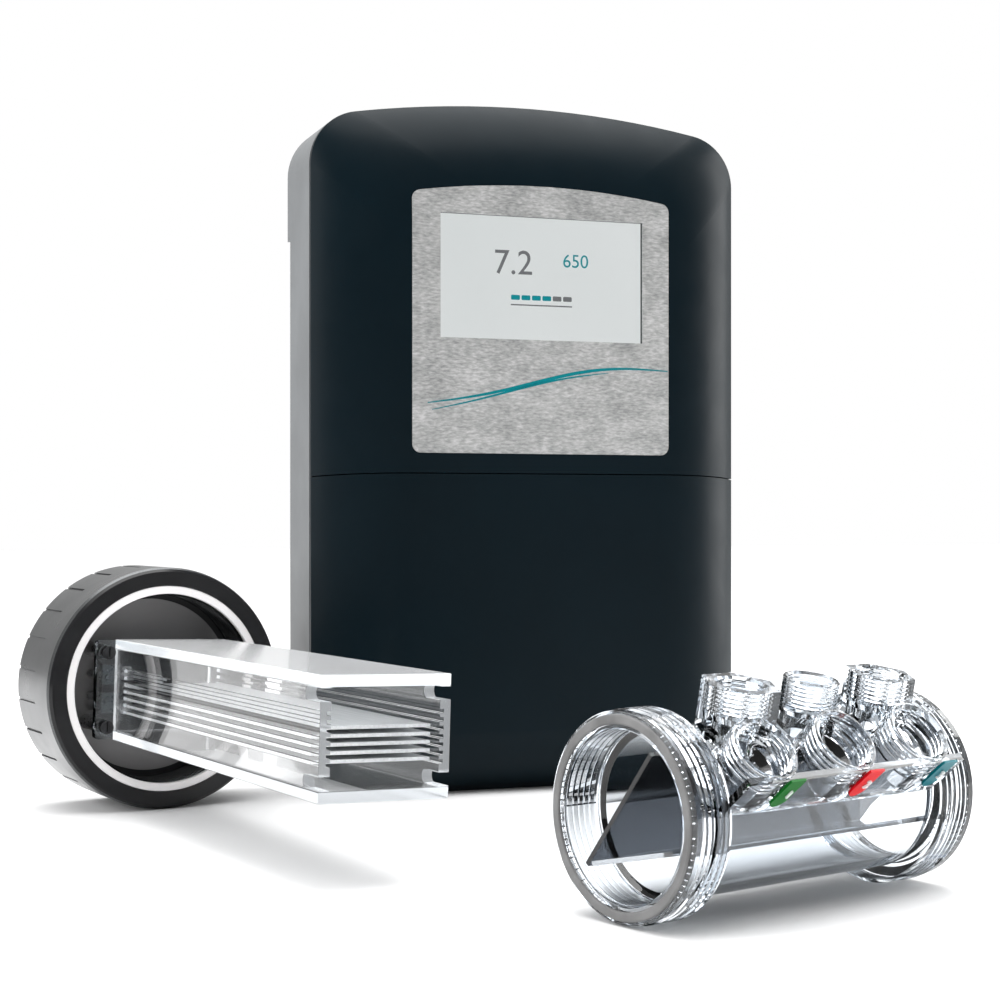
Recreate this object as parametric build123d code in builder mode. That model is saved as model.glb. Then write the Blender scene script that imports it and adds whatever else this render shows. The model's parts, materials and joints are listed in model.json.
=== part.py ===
"""A salt chlorine generator: wall controller, electrode cartridge and probe chamber.

The three items stand on one floor, as they are laid out before installation.
Millimetres, +Z up. Each item is modelled in a frame of its own and moved to its
place on the floor when it is written. Controller frame: X across, Y from the front
face backwards, Z up. Cartridge frame: Y along the axis, from the nut's mouth to the
cap. Chamber frame: X along the axis, Y away from the front, Z up.
"""

from build123d import *
from math import asin, cos, degrees, radians, sin, sqrt
import os

os.makedirs("parts", exist_ok=True)

# --- Places of the three items on the floor ---
CONTROLLER = Location((61.345, 117.394, 0))
CARTRIDGE = Location((-105.755, 126.094, 51.1), (0, 0, 10.27)) * Location((0, 0, 0), (0, 1.78, 0))
CHAMBER = Location((-16.655, -149.006, 32.85), (0, 0, 18.43))

# --- Controller case ---
CASE_W = 205.0
CASE_H = 310.0
TOP_ARC = 490.0  # radius of the arched top
TOP_CORNER = 24.0
BOTTOM_CORNER = 18.0
CORNER_SPREAD = 0.15  # how much the corners widen towards the front
ROLL_R = 59.2  # the front edge rolls back on this radius
ROLL_IN = 42.5  # and starts this far inside the outline
ROLL_END = ROLL_R - sqrt(ROLL_R**2 - ROLL_IN**2)  # depth where the roll ends
ROLL_STEPS = 6
BOTTOM_ROLL = 0.66  # the bottom rolls in by this share of the sides
WALL = 2.5
COVER_REAR = 19.5
SEAL_T = 1.5
HOUSING_FRONT = COVER_REAR + SEAL_T
HOUSING_BACK = 61.6
BRACKET_SPACE = 5.0
BACK_FACE = HOUSING_BACK - BRACKET_SPACE  # the housing's back, under its hood
BACK_INSIDE = BACK_FACE - WALL
HOOD_Z = 250.0
FLOOR_Z = 26.0  # underside of the housing's raised bottom wall
FLOOR_TOP = FLOOR_Z + WALL
RECESS_HALF = 88.0
PART_Z = 142.8  # where the two covers meet
PART_GAP = 0.5
PART_SLOPE = 5.0

# --- Window, bezel and display ---
BEZEL_W = 123.3
BEZEL_BOTTOM = 151.6
BEZEL_TOP = 271.6
BEZEL_ARC = 380.0
BEZEL_CORNER = 4.0
BEZEL_T = 1.0
BEZEL_GAP = 0.15
WINDOW_X = 97.0
WINDOW_Z = (202.7, 257.7)
LENS_X = 104.0
LENS_Z = (199.5, 261.0)
LENS_T = 1.2
LENS_Y = (WALL + 0.05, WALL + LENS_T)
PANEL_Y = (WALL + LENS_T, 9.0)
DISPLAY_BOARD_Y = (10.0, 11.6)
DISPLAY_SCREWS = [(x, z) for x in (-57, 57) for z in (197, 263)]

# --- Fixings of the case ---
CASE_SCREWS = [(-89.5, 160), (89.5, 160), (-84, 283), (84, 283)]
SCREW_R = 1.5
HEAD_R = 3.0
COVER_BOSS_R = 4.0
HOUSING_BOSS_R = 4.5
BOSS_START = 14.0  # the cover's screw bosses reach forward to here
DISPLAY_POST_R = 3.0
TAB_Z = (FLOOR_Z - 3, FLOOR_Z)  # the terminal cover's screw tabs
TAB_SLOT = 2.3
COVER_SCREW_X = 75.0
COVER_SCREW_Y = 27.0
BRACKET_HOLES = [(x, z) for x in (-70, 70) for z in (40, 225)]
BRACKET_HOLE_R = 2.75
BRACKET_T = 2.4
HOOKS_X = (-40.0, 40.0)
HOOK_Z = 232.0
LOCK_Z = 14.0

# --- Cable entries, sockets and switch ---
GLANDS_X = (-48.0, -16.0, 16.0, 48.0)
ENTRY_Y = 40.0
GLAND_R = 8.0
GLAND_BORE_R = 5.0
NECK_R = 7.45
DOME_BORE_R = 7.5
SOCKETS_X = (-80.5, -66.5)
SWITCH_X = 75.0
SWITCH_Y = 45.0
PIVOT_Z = FLOOR_Z + 0.9
ROCKER_TILT = 11.0

# --- Boards and power parts ---
BOARD_Y = (44.4, 46.0)
BOARD_X = 86.0
BOARD_Z = (46.5, 138.0)
BOARD_SCREWS = [(x, z) for x in (-80, 80) for z in (52, 132)]

# --- Electrode cartridge ---
NUT_R = 51.1
NUT_LENGTH = 45.0
GRIP_GROOVES = 24
GRIP_START = 20.0  # the grip's grooves run from here to the rear
GRIP_WIDTH = 1.3
GRIP_DEPTH = 0.7
SLEEVE_IN = 49.1
NUT_THREAD_R = 40.77  # G 2 3/4 major radius
NUT_MINOR_R = 39.3
G2_PITCH = 2.309
SHOULDER_R = 36.0
SHOULDER_Y = 33.0
CAP_FACE = 23.0
CAP_END = 48.0
RING_IN, RING_OUT = 40.0, 43.4
CAGE_W = 47.9
CAGE_H = 41.8
CAGE_T = 4.0
CAGE_FRONT = -205.8
FLANGE_Y = (-2.0, 2.0)
FLANGE_W = 63.0
FLANGE_H = 41.0
PILLARS = [(x, z) for x in (-27.0, 27.0) for z in (-15.5, 15.5)]
GROOVES = 7
GROOVE_PITCH = 2.8
GROOVE_DEPTH = 1.5
PLATES = 5
PLATE_T = 1.2
PLATE_REAR = -16.0
NOTCH_Z = 14.4
NOTCH_L = 12.0
NOTCH_R = 2.2
STUDS = [(-16.5, 6.9), (-16.5, -7.2)]
PIN_X = -24.7
PIN_Z = 4.75
PIN_SLOT_R = 3.5
PIN_SLOT_Z = 7.5

# --- Probe chamber ---
CHAMBER_L = 127.4
END_L = 16.0
THREAD_R = 32.85  # G 2 1/4 major radius
ROOT_R = 31.4
LIP_R = 32.4
LIP_L = 3.2
TUBE_R = 27.2
BORE_R = 24.6
MOUTH_R = 26.7
MOUTH_L = 15.0
SEAL_IN, SEAL_OUT = 28.2, 31.3
SEAL_GROOVE = 1.6
SEAL_PROUD = 0.8
PORT_TILT_FRONT = 50.0
PORT_TILT_BACK = 12.0
FRONT_PORTS = (29.0, 64.2, 99.4)
BACK_PORTS = (34.5, 66.0, 99.0)
FRONT_MOUTH = (33.0, 22.3)  # out and up from the axis
BACK_MOUTH = (17.0, 40.0)
FRONT_PORT_R = 11.4
BACK_PORT_R = 9.0
HALF_INCH = (9.32, 10.48, 1.814)  # G 1/2: minor radius, major radius, pitch
THREE_EIGHTHS = (7.475, 8.33, 1.337)  # G 3/8
PORT_L = 18.0
PORT_THREAD_L = 10.0
PORT_REACH = 24.0
SHAFT_R = 6.2  # clears a 12 mm probe
BLOCKS_ACROSS = {0: 22.0, 2: 20.0}  # back ports with a six-sided outside, across flats
LABEL_OUT = 12.0  # the label bar's face, measured from the front ports' axes
LABEL_T = 2.6
LABEL_L = CHAMBER_L - 2 * END_L + 2.0  # runs into both threaded ends
LABEL_W = 18.4
LABEL_MIDDLE = -9.8
TAG_SHIFT = 5.2
TAG_W = 6.4
TAG_L = 10.4
TAG_ROUND = 3.4
TAG_MIDDLE = -5.0
TAG_T = 0.8
GUIDE_APEX = (-16.6, -16.6)  # out and up from the axis
GUIDE_DARK_END = (12.4, 20.3)
GUIDE_CLEAR_END = (22.0, -8.0)
GUIDE_T = 1.5
GUIDE_ENDS = (1.0, 124.0)
RIDGES = 5
NUT_GROOVES = 7


def save(piece, name, place):
    """Move a finished piece to its place on the floor, label it and write it."""
    part = piece.part.moved(place)
    part.label = name
    export_step(part, f"parts/{name}.step")


def block(x_range, y_range, z_range, mode=Mode.ADD):
    """A box between three pairs of limits."""
    (x0, x1), (y0, y1), (z0, z1) = x_range, y_range, z_range
    with Locations(((x0 + x1) / 2, (y0 + y1) / 2, (z0 + z1) / 2)):
        Box(x1 - x0, y1 - y0, z1 - z0, mode=mode)


def rod_y(x, z, radius, y_range, mode=Mode.ADD):
    """A round bar or hole along Y."""
    y0, y1 = y_range
    with Locations(Location((x, (y0 + y1) / 2, z), (90, 0, 0))):
        Cylinder(radius, y1 - y0, mode=mode)


def rod_z(x, y, radius, z_range, mode=Mode.ADD):
    """A round bar or hole along Z."""
    z0, z1 = z_range
    with Locations((x, y, (z0 + z1) / 2)):
        Cylinder(radius, z1 - z0, mode=mode)


def hexagon_z(x, y, across, z_range):
    """A hexagonal prism along Z, measured across its flats."""
    with BuildSketch(Plane.XY.offset(z_range[0])) as outline:
        with Locations((x, y)):
            RegularPolygon(across / 2, 6, major_radius=False)
    extrude(outline.sketch, amount=z_range[1] - z_range[0])


# --- Controller: case shapes ---


def front_plane(y):
    """The upright plane at depth y, seen from the front: extrude backwards with minus."""
    return Plane(origin=(0, y, 0), x_dir=(1, 0, 0), z_dir=(0, -1, 0))


def case_outline(y, inset, bottom=0.0, spread=0.0):
    """Sketch the case's outline at depth y, drawn inward by inset."""
    half = CASE_W / 2 - inset
    arc = TOP_ARC - inset
    shoulder = CASE_H - TOP_ARC + sqrt(arc**2 - half**2)
    with BuildSketch(front_plane(y)) as outline:
        with BuildLine():
            Line((-half, bottom), (half, bottom))
            Line((half, bottom), (half, shoulder))
            ThreePointArc((half, shoulder), (0, CASE_H - inset), (-half, shoulder))
            Line((-half, shoulder), (-half, bottom))
        make_face()
        rows = outline.vertices().group_by(Axis.Y)
        fillet(rows[-1], TOP_CORNER + spread)
        fillet(outline.vertices().group_by(Axis.Y)[0], BOTTOM_CORNER + spread)
    return outline.sketch


def pillow(wall):
    """Loft the rolled front of the case, inside its outer face by wall."""
    sections = []
    end = degrees(asin(ROLL_IN / ROLL_R))
    for step in range(ROLL_STEPS + 1):
        angle = radians(end * step / ROLL_STEPS)
        inset = ROLL_IN - (ROLL_R - wall) * sin(angle)
        depth = ROLL_R - (ROLL_R - wall) * cos(angle)
        bottom = wall + (inset - wall) * BOTTOM_ROLL
        sections.append(case_outline(depth, inset, bottom, inset * CORNER_SPREAD - wall / 2))
    loft(sections)


def bezel_outline(y, inset):
    """Sketch the arched bezel plate at depth y."""
    half = BEZEL_W / 2 - inset
    arc = BEZEL_ARC - inset
    shoulder = BEZEL_TOP - BEZEL_ARC + sqrt(arc**2 - half**2)
    with BuildSketch(front_plane(y)) as outline:
        with BuildLine():
            Line((-half, BEZEL_BOTTOM + inset), (half, BEZEL_BOTTOM + inset))
            Line((half, BEZEL_BOTTOM + inset), (half, shoulder))
            ThreePointArc((half, shoulder), (0, BEZEL_TOP - inset), (-half, shoulder))
            Line((-half, shoulder), (-half, BEZEL_BOTTOM + inset))
        make_face()
        fillet(outline.vertices(), BEZEL_CORNER)
    return outline.sketch


# --- Controller: covers ---
with BuildPart() as cover_space:
    pillow(WALL)
    for x, z in CASE_SCREWS:
        rod_y(x, z, COVER_BOSS_R, (0, COVER_REAR + 1), Mode.SUBTRACT)
    for x, z in DISPLAY_SCREWS:
        rod_y(x, z, DISPLAY_POST_R, (0, DISPLAY_BOARD_Y[0]), Mode.SUBTRACT)
    block((-CASE_W, CASE_W), (0, COVER_REAR + 1), (FLOOR_Z, FLOOR_TOP), Mode.SUBTRACT)

with BuildPart() as cover_shell:
    pillow(0)
    extrude(case_outline(ROLL_END, 0), amount=-(COVER_REAR - ROLL_END))
    add(cover_space.part, mode=Mode.SUBTRACT)
    for x, z in CASE_SCREWS:
        rod_y(x, z, SCREW_R, (BOSS_START - 1, COVER_REAR + 1), Mode.SUBTRACT)
    for x, z in DISPLAY_SCREWS:
        rod_y(x, z, SCREW_R, (4.5, DISPLAY_BOARD_Y[0] + 1), Mode.SUBTRACT)
    extrude(bezel_outline(0, 0), amount=-BEZEL_T, mode=Mode.SUBTRACT)
    block((-WINDOW_X / 2, WINDOW_X / 2), (-1, WALL + 1), WINDOW_Z, Mode.SUBTRACT)


def parting_plane(shift):
    """The sloping plane between the two covers, moved up by shift."""
    slope = radians(PART_SLOPE)
    return Plane(origin=(0, 0, PART_Z + shift), z_dir=(0, sin(slope), cos(slope)))


with BuildPart() as upper_cover:
    add(cover_shell.part)
    split(bisect_by=parting_plane(PART_GAP / 2), keep=Keep.TOP)
    for x, z in CASE_SCREWS:
        rod_y(x, z, COVER_BOSS_R, (BOSS_START, HOUSING_FRONT))
        rod_y(x, z, SCREW_R, (BOSS_START - 1, HOUSING_FRONT + 1), Mode.SUBTRACT)
save(upper_cover, "upper_cover", CONTROLLER)

with BuildPart() as terminal_cover:
    add(cover_shell.part)
    split(bisect_by=parting_plane(-PART_GAP / 2), keep=Keep.BOTTOM)
    for x in (-COVER_SCREW_X, COVER_SCREW_X):
        block((x - 8, x + 8), (12, 32), TAB_Z)
        slot_z = (TAB_Z[0] - 1, TAB_Z[1] + 1)
        block((x - TAB_SLOT, x + TAB_SLOT), (COVER_SCREW_Y, 33), slot_z, Mode.SUBTRACT)
        rod_z(x, COVER_SCREW_Y, TAB_SLOT, slot_z, Mode.SUBTRACT)
save(terminal_cover, "terminal_cover", CONTROLLER)

# --- Controller: rear housing and seal ---
with BuildPart() as rear_housing:
    extrude(case_outline(HOUSING_FRONT, 0), amount=-(HOUSING_BACK - HOUSING_FRONT))
    inside = case_outline(HOUSING_FRONT, WALL, FLOOR_TOP, -WALL)
    extrude(inside, amount=-(BACK_INSIDE - HOUSING_FRONT), mode=Mode.SUBTRACT)
    block((-CASE_W, CASE_W), (BACK_FACE, HOUSING_BACK + 1), (-1, HOOD_Z), Mode.SUBTRACT)
    hood_pocket = case_outline(BACK_FACE, WALL, HOOD_Z - 40, -WALL)
    extrude(hood_pocket, amount=-(BRACKET_SPACE + 1), mode=Mode.SUBTRACT)
    recess_x = (-RECESS_HALF, RECESS_HALF)
    block(recess_x, (HOUSING_FRONT - 1, BACK_INSIDE), (-1, FLOOR_Z), Mode.SUBTRACT)
    for x, z in CASE_SCREWS:
        rod_y(x, z, HOUSING_BOSS_R, (HOUSING_FRONT, BACK_FACE))
        rod_y(x, z, SCREW_R + 0.2, (HOUSING_FRONT - 1, BACK_FACE), Mode.SUBTRACT)
        rod_y(x, z, HEAD_R + 0.3, (BACK_FACE - 3, BACK_FACE + 1), Mode.SUBTRACT)
    for x, z in BOARD_SCREWS:
        rod_y(x, z, 3.5, (BOARD_Y[1], BACK_INSIDE))
        rod_y(x, z, SCREW_R, (BOARD_Y[1] - 1, BACK_INSIDE), Mode.SUBTRACT)
    for x in (-COVER_SCREW_X, COVER_SCREW_X):
        rod_z(x, COVER_SCREW_Y, 4.2, (FLOOR_TOP, FLOOR_TOP + 9.5))
        rod_z(x, COVER_SCREW_Y, 2.0, (FLOOR_Z - 1, FLOOR_TOP + 8), Mode.SUBTRACT)
    for x in GLANDS_X:
        rod_z(x, ENTRY_Y, GLAND_R, (FLOOR_Z - 1, FLOOR_TOP + 1), Mode.SUBTRACT)
    for x in SOCKETS_X:
        rod_z(x, ENTRY_Y, 4.8, (FLOOR_Z - 1, FLOOR_TOP + 1), Mode.SUBTRACT)
    switch_x = (SWITCH_X - 9.65, SWITCH_X + 9.65)
    switch_y = (SWITCH_Y - 6.55, SWITCH_Y + 6.55)
    block(switch_x, switch_y, (FLOOR_Z - 1, FLOOR_TOP + 1), Mode.SUBTRACT)
    for x in HOOKS_X:
        block((x - 7, x + 7), (BACK_INSIDE - 1, BACK_FACE + 1), (HOOK_Z - 2, HOOK_Z + 8), Mode.SUBTRACT)
    rod_y(0, LOCK_Z, 2.1, (BACK_INSIDE - 1, BACK_FACE + 1), Mode.SUBTRACT)
save(rear_housing, "rear_housing", CONTROLLER)

with BuildPart() as housing_seal:
    extrude(case_outline(COVER_REAR, 0.7, FLOOR_Z + 0.3, -0.7), amount=-SEAL_T)
    extrude(case_outline(COVER_REAR, WALL, FLOOR_TOP, -WALL), amount=-SEAL_T, mode=Mode.SUBTRACT)
    for x, z in CASE_SCREWS:
        rod_y(x, z, COVER_BOSS_R + 0.1, (COVER_REAR - 1, HOUSING_FRONT + 1), Mode.SUBTRACT)
save(housing_seal, "housing_seal", CONTROLLER)

with BuildPart() as housing_screws:
    for x, z in CASE_SCREWS:
        rod_y(x, z, SCREW_R - 0.05, (BOSS_START, BACK_FACE - 3))
        rod_y(x, z, HEAD_R, (BACK_FACE - 3, BACK_FACE - 0.4))
        block((x - 2.2, x + 2.2), (BACK_FACE - 1.6, BACK_FACE), (z - 0.4, z + 0.4), Mode.SUBTRACT)
        block((x - 0.4, x + 0.4), (BACK_FACE - 1.6, BACK_FACE), (z - 2.2, z + 2.2), Mode.SUBTRACT)
save(housing_screws, "housing_screws", CONTROLLER)


def cover_screw(name, x):
    """A cross-head screw that clamps the terminal cover's tab from below."""
    with BuildPart() as screw:
        rod_z(x, COVER_SCREW_Y, 1.95, (FLOOR_Z - 3.05, FLOOR_TOP + 7.5))
        rod_z(x, COVER_SCREW_Y, 4.0, (FLOOR_Z - 6, FLOOR_Z - 3.05))
        top = screw.edges().filter_by(GeomType.CIRCLE).sort_by(Axis.Z)[0]
        fillet(top, 1.0)
        y = COVER_SCREW_Y
        block((x - 2.4, x + 2.4), (y - 0.45, y + 0.45), (FLOOR_Z - 7, FLOOR_Z - 4.4), Mode.SUBTRACT)
        block((x - 0.45, x + 0.45), (y - 2.4, y + 2.4), (FLOOR_Z - 7, FLOOR_Z - 4.4), Mode.SUBTRACT)
    save(screw, name, CONTROLLER)


cover_screw("cover_screw_left", -COVER_SCREW_X)
cover_screw("cover_screw_right", COVER_SCREW_X)

# --- Controller: wall bracket ---
with BuildPart() as wall_bracket:
    extrude(case_outline(BACK_FACE + 0.2, 1.2, 9.0, -1.2), amount=-(BRACKET_SPACE - 0.2))
    block((-CASE_W, CASE_W), (BACK_FACE, HOUSING_BACK + 1), (HOOD_Z - 0.6, CASE_H), Mode.SUBTRACT)
    block((-95, 95), (BACK_FACE, HOUSING_BACK - BRACKET_T), (14.0, HOOD_Z - 6), Mode.SUBTRACT)
    block((-52, 52), (BACK_FACE, HOUSING_BACK + 1), (60, 180), Mode.SUBTRACT)
    for x in HOOKS_X:
        block((x - 6, x + 6), (BACK_INSIDE - 2.3, HOUSING_BACK - BRACKET_T), (HOOK_Z - 1, HOOK_Z + 1.4))
        block((x - 6, x + 6), (BACK_INSIDE - 2.3, BACK_INSIDE - 0.1), (HOOK_Z - 1, HOOK_Z + 7))
    rod_y(0, LOCK_Z, 5.0, (BACK_FACE + 0.2, HOUSING_BACK))
    rod_y(0, LOCK_Z, 1.95, (BACK_FACE, HOUSING_BACK - 1), Mode.SUBTRACT)
    for x, z in BRACKET_HOLES:
        rod_y(x, z, 6.5, (HOUSING_BACK - 3.6, HOUSING_BACK))
        rod_y(x, z, BRACKET_HOLE_R, (BACK_FACE, HOUSING_BACK + 1), Mode.SUBTRACT)
save(wall_bracket, "wall_bracket", CONTROLLER)

with BuildPart() as bracket_screw:
    rod_y(0, LOCK_Z, 1.9, (BACK_INSIDE - 0.05, HOUSING_BACK - 1.5))
    rod_y(0, LOCK_Z, 3.6, (BACK_INSIDE - 2.6, BACK_INSIDE - 0.05))
    block((-2.2, 2.2), (BACK_INSIDE - 3, BACK_INSIDE - 1.4), (LOCK_Z - 0.4, LOCK_Z + 0.4), Mode.SUBTRACT)
save(bracket_screw, "bracket_screw", CONTROLLER)

# --- Controller: bezel and display ---
with BuildPart() as bezel_plate:
    extrude(bezel_outline(0, BEZEL_GAP), amount=-BEZEL_T)
    block((-WINDOW_X / 2, WINDOW_X / 2), (-1, BEZEL_T + 1), WINDOW_Z, Mode.SUBTRACT)
save(bezel_plate, "bezel_plate", CONTROLLER)

with BuildPart() as display_lens:
    block((-LENS_X / 2, LENS_X / 2), LENS_Y, LENS_Z)
save(display_lens, "display_lens", CONTROLLER)

with BuildPart() as display_panel:
    block((-LENS_X / 2, LENS_X / 2), PANEL_Y, LENS_Z)
    block((-LENS_X / 2 + 4, LENS_X / 2 - 4), (PANEL_Y[1] - 1, PANEL_Y[1] + 1), (204, 256), Mode.SUBTRACT)
save(display_panel, "display_panel", CONTROLLER)

with BuildPart() as display_board:
    block((-62, 62), DISPLAY_BOARD_Y, (192, 268))
    for x, z in DISPLAY_SCREWS:
        rod_y(x, z, SCREW_R + 0.15, (DISPLAY_BOARD_Y[0] - 1, DISPLAY_BOARD_Y[1] + 1), Mode.SUBTRACT)
    for x, width, z in ((-30, 14, 232), (0, 10, 236), (28, 18, 226)):
        block((x - width / 2, x + width / 2), (DISPLAY_BOARD_Y[1], 13.4), (z - 6, z + 6))
    block((-12, 12), (DISPLAY_BOARD_Y[1], 17.0), (196, 202))
save(display_board, "display_board", CONTROLLER)

with BuildPart() as display_screws:
    for x, z in DISPLAY_SCREWS:
        rod_y(x, z, SCREW_R - 0.05, (5.0, DISPLAY_BOARD_Y[1]))
        rod_y(x, z, 2.7, (DISPLAY_BOARD_Y[1], DISPLAY_BOARD_Y[1] + 1.8))
save(display_screws, "display_screws", CONTROLLER)

# --- Controller: main board and power parts ---
with BuildPart() as main_board:
    block((-BOARD_X, BOARD_X), BOARD_Y, BOARD_Z)
    for x, z in BOARD_SCREWS:
        rod_y(x, z, SCREW_R + 0.15, (BOARD_Y[0] - 1, BOARD_Y[1] + 1), Mode.SUBTRACT)
save(main_board, "main_board", CONTROLLER)

with BuildPart() as board_screws:
    for x, z in BOARD_SCREWS:
        rod_y(x, z, SCREW_R - 0.05, (BOARD_Y[0], 52.0))
        rod_y(x, z, 2.8, (BOARD_Y[0] - 1.8, BOARD_Y[0]))
save(board_screws, "board_screws", CONTROLLER)

with BuildPart() as board_components:
    for x in (-58, -36, -14):
        block((x - 9.5, x + 9.5), (28.6, BOARD_Y[0]), (104, 120))
    for x, z, radius, height in ((20, 112, 9, 22), (42, 112, 9, 22), (64, 108, 11, 24)):
        rod_y(x, z, radius, (BOARD_Y[0] - height, BOARD_Y[0]))
    for x, z, side in ((-50, 84, 14), (-20, 86, 18), (12, 84, 10)):
        block((x - side / 2, x + side / 2), (BOARD_Y[0] - 2, BOARD_Y[0]), (z - side / 2, z + side / 2))
    block((34, 62), (BOARD_Y[0] - 14, BOARD_Y[0]), (72, 92))
save(board_components, "board_components", CONTROLLER)

with BuildPart() as terminal_blocks:
    for middle in (-55, -19, 17, 53):
        block((middle - 15, middle + 15), (BOARD_Y[0] - 16, BOARD_Y[0]), (49, 61))
        for step in range(-2, 3):
            x = middle + step * 5.08
            rod_y(x, 58, 1.9, (BOARD_Y[0] - 17, BOARD_Y[0] - 10), Mode.SUBTRACT)
            block((x - 1.7, x + 1.7), (BOARD_Y[0] - 13, BOARD_Y[0] - 9), (48, 53), Mode.SUBTRACT)
save(terminal_blocks, "terminal_blocks", CONTROLLER)

with BuildPart() as fuse_holder:
    block((66, 72), (BOARD_Y[0] - 9, BOARD_Y[0]), (72, 94))
    rod_z(69, BOARD_Y[0] - 9.5, 3.0, (70.5, 95.5))
save(fuse_holder, "fuse_holder", CONTROLLER)

with BuildPart() as power_supply:
    block((-80, 22), (26, BACK_INSIDE), (158, 216))
    block((-78.8, 20.8), (27.2, BACK_INSIDE - 1.2), (159.2, 214.8), Mode.SUBTRACT)
    for step in range(9):
        x = -73 + step * 11
        block((x, x + 6), (25, 28), (166, 208), Mode.SUBTRACT)
    block((-70, 10), (34, BACK_INSIDE - 1.2), (166, 208))
save(power_supply, "power_supply", CONTROLLER)

with BuildPart() as heat_sink:
    block((30, 82), (50, BACK_INSIDE), (158, 218))
    for step in range(9):
        x = 30 + step * 6.25
        block((x, x + 2), (30, 50), (158, 218))
save(heat_sink, "heat_sink", CONTROLLER)

# --- Controller: cable glands ---
with BuildPart() as gland_bodies:
    for x in GLANDS_X:
        hexagon_z(x, ENTRY_Y, 19.0, (FLOOR_Z - 3.5, FLOOR_Z))
        rod_z(x, ENTRY_Y, NECK_R, (12.0, FLOOR_Z - 3.5))
        rod_z(x, ENTRY_Y, GLAND_R - 0.05, (FLOOR_Z, 40.0))
        rod_z(x, ENTRY_Y, GLAND_BORE_R, (11, 41), Mode.SUBTRACT)
save(gland_bodies, "gland_bodies", CONTROLLER)

with BuildPart() as gland_locknuts:
    for x in GLANDS_X:
        hexagon_z(x, ENTRY_Y, 20.0, (FLOOR_TOP, FLOOR_TOP + 4))
        rod_z(x, ENTRY_Y, GLAND_R, (FLOOR_TOP - 1, FLOOR_TOP + 5), Mode.SUBTRACT)
save(gland_locknuts, "gland_locknuts", CONTROLLER)

with BuildPart() as gland_seals:
    for x in GLANDS_X:
        rod_z(x, ENTRY_Y, 7.2, (9.3, 12.0))
        rod_z(x, ENTRY_Y, 3.6, (8, 13), Mode.SUBTRACT)
save(gland_seals, "gland_seals", CONTROLLER)


def gland_nut(name, x):
    """A hexagonal dome nut on a gland's neck."""
    with BuildPart() as nut:
        hexagon_z(x, ENTRY_Y, 19.5, (10.5, FLOOR_Z - 4.0))
        rod_z(x, ENTRY_Y, 9.6, (6.0, 10.5))
        rim = nut.edges().filter_by(GeomType.CIRCLE).sort_by(Axis.Z)[0]
        fillet(rim, 2.5)
        rod_z(x, ENTRY_Y, DOME_BORE_R, (9.0, FLOOR_Z), Mode.SUBTRACT)
        rod_z(x, ENTRY_Y, 4.6, (5, 10), Mode.SUBTRACT)
    save(nut, name, CONTROLLER)


for number, gland_x in enumerate(GLANDS_X, start=1):
    gland_nut(f"gland_nut_{number}", gland_x)

# --- Controller: probe sockets and mains switch ---
with BuildPart() as signal_sockets:
    for x in SOCKETS_X:
        rod_z(x, ENTRY_Y, 6.4, (FLOOR_Z - 2, FLOOR_Z))
        rod_z(x, ENTRY_Y, 4.7, (13.0, 34.0))
        rod_z(x, ENTRY_Y, 3.7, (12, FLOOR_Z - 4), Mode.SUBTRACT)
        rod_z(x, ENTRY_Y, 0.8, (15.0, FLOOR_Z - 3))
save(signal_sockets, "signal_sockets", CONTROLLER)

with BuildPart() as switch_frame:
    block((SWITCH_X - 10.75, SWITCH_X + 10.75), (SWITCH_Y - 7.75, SWITCH_Y + 7.75), (FLOOR_Z - 2, FLOOR_Z))
    block((SWITCH_X - 9.5, SWITCH_X + 9.5), (SWITCH_Y - 6.4, SWITCH_Y + 6.4), (FLOOR_Z, 39.0))
    block((SWITCH_X - 8.6, SWITCH_X + 8.6), (SWITCH_Y - 5.35, SWITCH_Y + 5.35), (20, 36), Mode.SUBTRACT)
    rod_y(SWITCH_X, PIVOT_Z, 1.05, (SWITCH_Y - 6.2, SWITCH_Y + 6.2), Mode.SUBTRACT)
    for x in (-5.5, 0, 5.5):
        block((SWITCH_X + x - 0.4, SWITCH_X + x + 0.4), (SWITCH_Y - 2.4, SWITCH_Y + 2.4), (39, 44.5))
save(switch_frame, "switch_frame", CONTROLLER)

tilt = radians(ROCKER_TILT)
rocker_plane = Plane(
    origin=(SWITCH_X, SWITCH_Y, PIVOT_Z),
    x_dir=(cos(tilt), 0, sin(tilt)),
    z_dir=(0, -1, 0),
)
with BuildPart() as switch_rocker:
    with BuildSketch(rocker_plane):
        Polygon(
            (0, -1.6), (7.3, -4.4), (7.3, -1.0), (4.0, 3.2),
            (-4.0, 3.2), (-7.3, -1.0), (-7.3, -4.4),
            align=None,
        )
    extrude(amount=5.15, both=True)
    rod_y(SWITCH_X, PIVOT_Z, 1.0, (SWITCH_Y - 6.1, SWITCH_Y + 6.1))
save(switch_rocker, "switch_rocker", CONTROLLER)

# --- Cartridge: union nut ---


def ring_y(outer, inner, y_range):
    """A plain ring about the cartridge axis."""
    with BuildSketch(Plane.XY) as section:
        with Locations(((outer + inner) / 2, sum(y_range) / 2)):
            Rectangle(outer - inner, y_range[1] - y_range[0])
    revolve(section.sketch, axis=Axis.Y)


def nut_threads():
    """Cut the ring grooves of the nut's internal thread."""
    with BuildSketch(Plane.XY) as grooves:
        for turn in range(NUT_GROOVES):
            y = 6.0 + turn * G2_PITCH
            with Locations((0, y)):
                Polygon(
                    (NUT_MINOR_R - 1, -1.1), (NUT_MINOR_R, -0.8), (NUT_THREAD_R, -0.2),
                    (NUT_THREAD_R, 0.2), (NUT_MINOR_R, 0.8), (NUT_MINOR_R - 1, 1.1),
                    align=None,
                )
    revolve(grooves.sketch, axis=Axis.Y, mode=Mode.SUBTRACT)


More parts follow.
